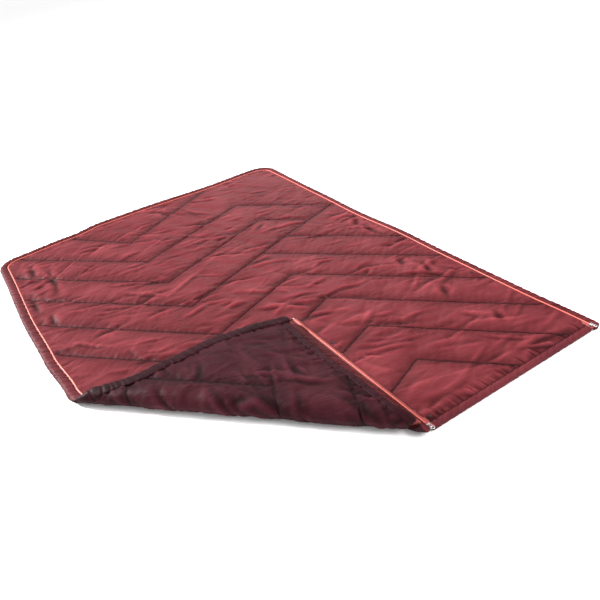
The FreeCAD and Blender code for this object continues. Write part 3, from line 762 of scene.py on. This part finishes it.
def cloth_piece(name, flat_xy, height, chosen, material, replaced):
    """The chosen triangles of the quilt as one open sheet."""
    used = np.unique(chosen)
    number = np.zeros(len(flat_xy), int)
    number[used] = np.arange(len(used))
    laid = place(np.column_stack((flat_xy[used], height[used])))
    piece = mesh_object(name, laid, number[chosen])
    # Seam distances and wrinkle heights for the painted shade and highlight in the material.
    store(piece, "seam_away", seam_away[used] / GROOVE_REACH)
    store(piece, "wrinkle_shade", 0.5 + shade[used] / WRINKLE_RANGE)
    piece.data.materials.append(material)
    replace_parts(piece, *replaced)
    return piece


main_faces, corner_faces = faces[~in_corner], faces[in_corner]
main_lining = cloth_piece("panel_lining", lining_points, lining_height, main_faces[:, ::-1], lining_cloth,
                          ["lining"])
main_shell = cloth_piece("panel_shell", points, shell_height, main_faces, shell_cloth,
                         ["outer_shell", "insulation"])
corner_shell = cloth_piece("folded_shell", points, shell_height, corner_faces, shell_cloth,
                           ["corner_shell", "corner_insulation", "fold_shell", "fold_insulation"])
corner_lining = cloth_piece("folded_lining", lining_points, lining_height, corner_faces[:, ::-1],
                            lining_cloth, ["corner_lining", "fold_lining"])
for piece in (main_shell, main_lining):
    bends_lower(piece)
for piece in (corner_shell, corner_lining):
    bends_upper(piece)


# Guards, tapes, coils and hems --------------------------------------------------------------


# Below this height a guard shows its lining cloth.
TURNOVER = 0.010


def sweep(name, line, step, section, material, below=None, wanted=None):
    """Sweeps a closed section along a line of the flat cloth. section gives the distances into
    the blanket and the heights, both as arrays of stations by points around. A second
    material, below, covers the side that the lining is on."""
    run, even, tangent = resampled(line, step)
    if wanted is not None:
        keep = wanted(even)
        run, even, tangent = run[keep], even[keep], tangent[keep]
    into, height = section(run)
    around = into.shape[1]
    side = np.column_stack((-tangent[:, 1], tangent[:, 0]))
    flat = np.zeros((len(run), around, 3))
    flat[:, :, :2] = even[:, None, :] + into[:, :, None] * side[:, None, :]
    flat[:, :, 2] = height
    ring = np.arange(around)
    grid = []
    for station in range(len(run) - 1):
        base = station * around
        following = (ring + 1) % around
        corners = (base + ring, base + around + ring, base + around + following, base + following)
        grid.append(np.column_stack(corners))
    quads = np.concatenate(grid).tolist()
    quads += [list(ring), list(ring[::-1] + (len(run) - 1) * around)]
    piece = mesh_object(name, place(flat), quads)
    piece.data.materials.append(material)
    level = flat[:, :, 2]
    # Painted shade and highlight: each station's lower points are stored to darken and its upper points to
    # lighten.
    store(piece, "wrinkle_shade", (0.55 + (level - level.mean(axis=0)) / WRINKLE_RANGE).ravel())
    if below:
        piece.data.materials.append(below)
        level = level.ravel()
        for polygon in piece.data.polygons:
            polygon.material_index = int(np.mean([level[v] for v in polygon.vertices]) < TURNOVER)
    return piece


def lumps(run, spacing, seed):
    """Rounded lumps of uneven length between sharp creases: 0 in a crease, 1 on a lump."""
    breaks = np.cumsum(np.random.default_rng(seed).uniform(0.35, 1.65, 800) * spacing) - 2 * spacing
    which = np.searchsorted(breaks, run) - 1
    share = (run - breaks[which]) / (breaks[which + 1] - breaks[which])
    return np.sin(math.pi * share) ** 0.45


def guard_share(run):
    """How much of its width a zip guard shows: on the right side it is rolled under."""
    past_right = run - (FOOT_Y - HEAD_Y)
    return 0.60 + 0.40 * ease((past_right + 0.30) / 0.35) - 0.10 * ease((past_right - LEFT_HALF) / 0.6)


# How square a tube's section is: 2 would be an ellipse.
TUBE_POWER = 2.4


def padded_tube(width, height, around, spacing, depth, seed, lift=0.0, share=None, lip=0.0):
    """Section of a filled tube of cloth, flat below, puckered by its stitching. A lip widens it
    inwards on the lining side."""
    angle = np.linspace(0, 2 * math.pi, around, endpoint=False)
    flat_side = np.sign(np.cos(angle)) * np.abs(np.cos(angle)) ** (2 / TUBE_POWER)
    top = np.sign(np.sin(angle)) * np.abs(np.sin(angle)) ** (2 / TUBE_POWER)

    def section(run):
        slanted = run[:, None] + 0.012 * np.cos(angle)[None, :] + 0.004 * np.sin(angle * 2)[None, :]
        pucker = lumps(slanted, spacing, seed) - 0.8 + 0.35 * waves(slanted, (0.012, 0.019, 0.031), seed + 1)
        kept = np.ones(len(run)) if share is None else share(run)
        wide = width / 2 * kept[:, None] * (1 + depth * 0.45 * pucker)
        high = height / 2 * (0.97 + depth * pucker)
        ends = ease(np.minimum(run - run[0], run[-1] - run) / 0.004)[:, None] * 0.12 + 0.88
        into = width * (1 - kept[:, None] / 2) - wide * flat_side[None, :] * ends
        into = into + lip * np.clip(-flat_side, 0, 1) * np.clip(-top, 0, 1)
        level = height / 2 + lift + high * top[None, :] * ends
        return into, np.maximum(level, 0.0004)

    return section


def in_main(points_along):
    return across_fold(points_along) > MID_BEND - 1e-9


def in_corner_part(points_along):
    return ~in_main(points_along)


GUARD_LUMP = 0.034
STATION = 0.0035
# The folded corner's guard lies with its lining side up, where it is fuller.
MAIN_TUBE = padded_tube(GUARD_WIDTH, GUARD_HEIGHT, 22, GUARD_LUMP, 0.26, 11, share=guard_share)
FOLDED_TUBE = padded_tube(GUARD_WIDTH, GUARD_HEIGHT + 0.003, 26, GUARD_LUMP * 0.7, 0.30, 11, lip=0.026)
SLIT_TUBE = padded_tube(GUARD_WIDTH, GUARD_HEIGHT - 0.004, 22, GUARD_LUMP, 0.20, 17)

main_guard = sweep("main_guard", zip_line, STATION, MAIN_TUBE, guard_cloth,
                   below=binding_cloth, wanted=in_main)
bends_lower(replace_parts(main_guard, "right_side_guard", "right_corner_guard", "right_foot_guard",
                        "left_foot_guard", "left_corner_guard", "left_side_guard"))
corner_guard = sweep("folded_guard", zip_line, STATION, FOLDED_TUBE, guard_cloth,
                     below=binding_cloth, wanted=in_corner_part)
bends_upper(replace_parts(corner_guard, "corner_side_guard", "fold_side_guard"))
slit_guard = sweep("short_zip_guard", slit_line, STATION, SLIT_TUBE, guard_cloth,
                   below=binding_cloth)
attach(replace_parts(slit_guard, "slit_guard"), "blanket")


def tape_section(reach, drop):
    """Thin woven tape from under the guard to under the panel, wavy where it was sewn."""
    into = np.array((0.0362, 0.0450, reach, reach, 0.0450, 0.0362))
    level = COIL_LEVEL + np.array((-0.0022, -0.0004, -drop, -drop - 0.0008, -0.0012, -0.0030))

    def section(run):
        wavy = 0.0004 * waves(run, (0.035, 0.06, 0.09), 23)[:, None]
        return np.tile(into, (len(run), 1)), level[None, :] + wavy

    return section


# Beside the main zip the panel covers the tape's edge, so it dips below the cloth there.
SHORT_TAPE = tape_section(0.0560, 0.0010)
MAIN_TAPE = tape_section(0.0500, 0.0070)
COIL_PITCH = 0.0024
COIL_RADII = (0.0021, 0.0018)


def coil_section(run):
    """Turns of the coil: every other station is narrower."""
    angle = np.linspace(0, 2 * math.pi, 8, endpoint=False)
    swell = np.where(np.arange(len(run)) % 2 == 0, 1.0, 0.72)[:, None]
    into = COIL_MIDDLE + COIL_RADII[0] * swell * np.cos(angle + math.pi)[None, :]
    level = COIL_LEVEL + 0.0006 + COIL_RADII[1] * swell * np.sin(angle)[None, :]
    return into, level


ZIPS = (
    ("main", zip_line, in_main, bends_lower, ("left_zip_%s", "right_zip_%s")),
    ("corner", zip_line, in_corner_part, bends_upper, ("corner_zip_%s", "fold_zip_%s")),
    ("short_right", slit_line, None, lambda piece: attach(piece, "blanket"), ("slit_%s_right",)),
    ("short_left", slit_left_line, None, bends_lower, ("slit_%s_left",)),
)
for label, line, part, held_by, replaced in ZIPS:
    shape = SHORT_TAPE if part is None else MAIN_TAPE
    tape = sweep(label + "_tape", line, ZIP_STEP, shape, tape_weave, wanted=part)
    coil = sweep(label + "_coil", line, COIL_PITCH / 2, coil_section, coil_nylon, wanted=part)
    held_by(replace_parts(tape, *[name % "tape" for name in replaced]))
    held_by(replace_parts(coil, *[name % "coil" for name in replaced]))

HEM_LUMP = 0.021
HEM_END = PANEL_INSET - 0.004
HEM_STATION = 0.0028
RIGHT_TUBE = padded_tube(HEM_WIDTH + 0.005, HEM_HEIGHT, 18, HEM_LUMP, 0.20, 31, lift=0.001)
CORNER_TUBE = padded_tube(HEM_WIDTH + 0.002, HEM_HEIGHT - 0.005, 18, HEM_LUMP * 2, 0.10, 37, lift=0.0055)

right_hem = sweep("right_gathered_hem", right_head, HEM_STATION, RIGHT_TUBE, hem_cloth,
                  wanted=lambda at: at[:, 0] < RIGHT_HALF - HEM_END)
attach(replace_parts(right_hem, "right_head_hem", "right_elastic"), "blanket")
corner_hem = sweep("corner_gathered_hem", left_head, HEM_STATION, CORNER_TUBE, binding_cloth,
                   wanted=lambda at: (at[:, 0] > HEM_END - LEFT_HALF) & in_corner_part(at))
bends_upper(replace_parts(corner_hem, "corner_head_hem", "corner_elastic"))

# Stitching ----------------------------------------------------------------------------------

STITCH_LENGTH = 0.0036
STITCH_GAP = 0.0052
STITCH_RADIUS = 0.0005


def stitches(name, spots, headings, level, material):
    """Separate stitches: slim six-pointed slugs along the cloth."""
    beside = np.column_stack((-headings[:, 1], headings[:, 0]))
    ends = STITCH_LENGTH / 2 * headings
    flat = np.zeros((len(spots), 6, 3))
    flat[:, :, :2] = spots[:, None, :]
    flat[:, 0, :2] -= ends
    flat[:, 1, :2] += ends
    flat[:, 2, :2] -= STITCH_RADIUS * beside
    flat[:, 3, :2] += STITCH_RADIUS * beside
    flat[:, :, 2] = np.asarray(level)[:, None]
    flat[:, 4, 2] -= STITCH_RADIUS
    flat[:, 5, 2] += STITCH_RADIUS
    shape = np.array(((0, 2, 5), (2, 1, 5), (1, 3, 5), (3, 0, 5), (2, 0, 4), (1, 2, 4), (3, 1, 4), (0, 3, 4)))
    every = (np.arange(len(spots))[:, None, None] * 6 + shape[None]).reshape(-1, 3)
    piece = mesh_object(name, place(flat), every)
    piece.data.materials.append(material)
    return piece


outline = panel_outline()
stitch_at, stitch_along = seam_samples(STITCH_GAP)
kept = inside(stitch_at, outline)
stitch_at, stitch_along = stitch_at[kept], stitch_along[kept]
upper = SEAM_LEVEL + 0.0003
lower = LOFT - upper
for label, part, held_by, slot_name in (("main", in_main, bends_lower, "shell_cloth"),
                                        ("corner", in_corner_part, bends_upper, "lining_cloth")):
    chosen = part(stitch_at)
    spots = np.concatenate((stitch_at[chosen], stitch_at[chosen]))
    along = np.concatenate((stitch_along[chosen], stitch_along[chosen]))
    level = np.repeat((upper, lower), chosen.sum())
    quilting = stitches(label + "_quilting_stitches", spots, along, level, thread_dark)
    held_by(quilting)

# Metal and plastic --------------------------------------------------------------------------

HARD_PARTS = {
    "foot_joiner": black_plastic,
    "press_studs": black_plastic,
    "right_top_stop": zip_metal,
    "slit_top_stop": zip_metal,
    "slit_end_stop": zip_metal,
    "corner_top_stop": zip_metal,
}
for name in ("right", "slit", "corner"):
    HARD_PARTS[name + "_slider"] = zip_metal
    HARD_PARTS[name + "_pull"] = zip_metal
for name, material in HARD_PARTS.items():
    nodes[name].data.materials.clear()
    nodes[name].data.materials.append(material)

# Floor, light and camera --------------------------------------------------------------------


def floor():
    """A pale plane with a faint grain."""
    half = 40.0
    corners = ((-half, -half, -0.0005), (half, -half, -0.0005), (half, half, -0.0005), (-half, half, -0.0005))
    piece = mesh_object("floor", corners, [(0, 1, 2, 3)], smooth=False)
    made, tree, main = shader("floor", 0.9)
    main.inputs["Specular IOR Level"].default_value = 0.1
    grain = texture(tree, "ShaderNodeTexNoise", 30.0, Detail=3.0)
    colour = ramp(tree, grain.outputs["Fac"], ((0.3, (0.90, 0.90, 0.90)), (0.7, (0.93, 0.93, 0.93))))
    tree.links.new(colour.outputs["Color"], main.inputs["Base Color"])
    piece.data.materials.append(made)


def soft_light(name, place_at, target, size, power):
    data = bpy.data.lights.new(name, "AREA")
    data.shape = "DISK"
    data.size = size
    data.energy = power
    lamp = bpy.data.objects.new(name, data)
    bpy.context.scene.collection.objects.link(lamp)
    lamp.location = place_at
    lamp.rotation_euler = (Vector(target) - Vector(place_at)).to_track_quat("-Z", "Y").to_euler()


floor()
soft_light("window", (-5.4, 5.85, 4.2), (0, 0, 0), 2.0, 2350)
soft_light("back", (2.6, 4.2, 3.0), (0.3, 0, 0), 2.6, 110)
soft_light("fill", (2.2, -3.2, 3.0), (0.4, -0.4, 0), 3.0, 230)
world = bpy.data.worlds.new("studio")
world.use_nodes = True
world.node_tree.nodes["Background"].inputs["Color"].default_value = (1, 1, 1, 1)
world.node_tree.nodes["Background"].inputs["Strength"].default_value = 1.05
scene = bpy.context.scene
scene.world = world
scene.view_settings.view_transform = "Standard"

CAMERA_AT = (SLIT_LINE_X - 0.8104, -1.9467, 1.2164)
HEADING = math.radians(61.65)
PITCH = math.radians(32.41)
ROLL = math.radians(-8.396)
data = bpy.data.cameras.new("camera")
data.lens = 36
data.sensor_width = 36
data.clip_end = 200
camera = bpy.data.objects.new("camera", data)
scene.collection.objects.link(camera)
level_camera = Euler((math.pi / 2 - PITCH, 0, HEADING - math.pi / 2)).to_matrix().to_4x4()
camera.matrix_world = Matrix.Translation(CAMERA_AT) @ level_camera @ Matrix.Rotation(ROLL, 4, "Z")
scene.camera = camera
